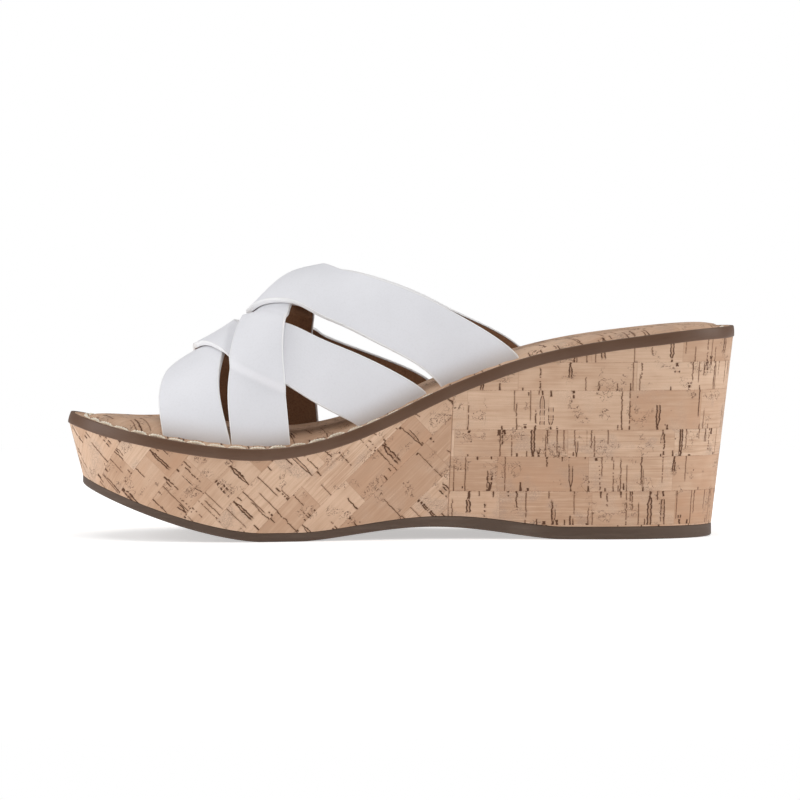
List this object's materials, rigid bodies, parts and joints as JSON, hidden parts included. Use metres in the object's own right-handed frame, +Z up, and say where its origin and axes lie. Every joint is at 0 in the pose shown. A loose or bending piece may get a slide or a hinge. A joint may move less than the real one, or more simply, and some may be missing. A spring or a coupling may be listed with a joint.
{
  "type": "wedge sandal",
  "caption": "Right-foot wedge slide with interlaced white leather straps, padded cork footbed, cork-covered wedge and thin rubber outsole.",
  "frame": {"origin": "on the ground under the middle of the sandal's length and width", "axes": "+Z up, -X towards the toe, +X towards the heel, -Y the inner (medial) side of the foot"},
  "size_m": [0.249, 0.0879, 0.1029],
  "materials": {
    "sole_rubber": "matte",
    "wedge_foam": "matte",
    "cork": "matte",
    "rand_leather": "satin",
    "cork_filler": "matte",
    "fibre_board": "matte",
    "steel": "satin",
    "padding": "matte",
    "thread": "matte",
    "white_leather": "satin",
    "brown_lining": "matte"
  },
  "bodies": {
    "root": {"outsole": "sole_rubber", "wedge_core": "wedge_foam", "cork_wrap_forepart": "cork", "cork_wrap_heel": "cork", "rand": "rand_leather", "bottom_filler": "cork_filler", "insole_board": "fibre_board", "shank": "steel", "shank_rivet_front": "steel", "shank_rivet_rear": "steel", "heel_nail_1": "steel", "heel_nail_2": "steel", "heel_nail_3": "steel", "heel_nail_4": "steel", "heel_nail_5": "steel", "footbed_foam": "padding", "sock": "cork", "rim_thread": "thread", "strap_1_leather": "white_leather", "strap_1_lining": "brown_lining", "strap_2_leather": "white_leather", "strap_2_lining": "brown_lining", "strap_3_leather": "white_leather", "strap_3_lining": "brown_lining", "strap_4_leather": "white_leather", "strap_4_lining": "brown_lining"}
  },
  "joints": []
}
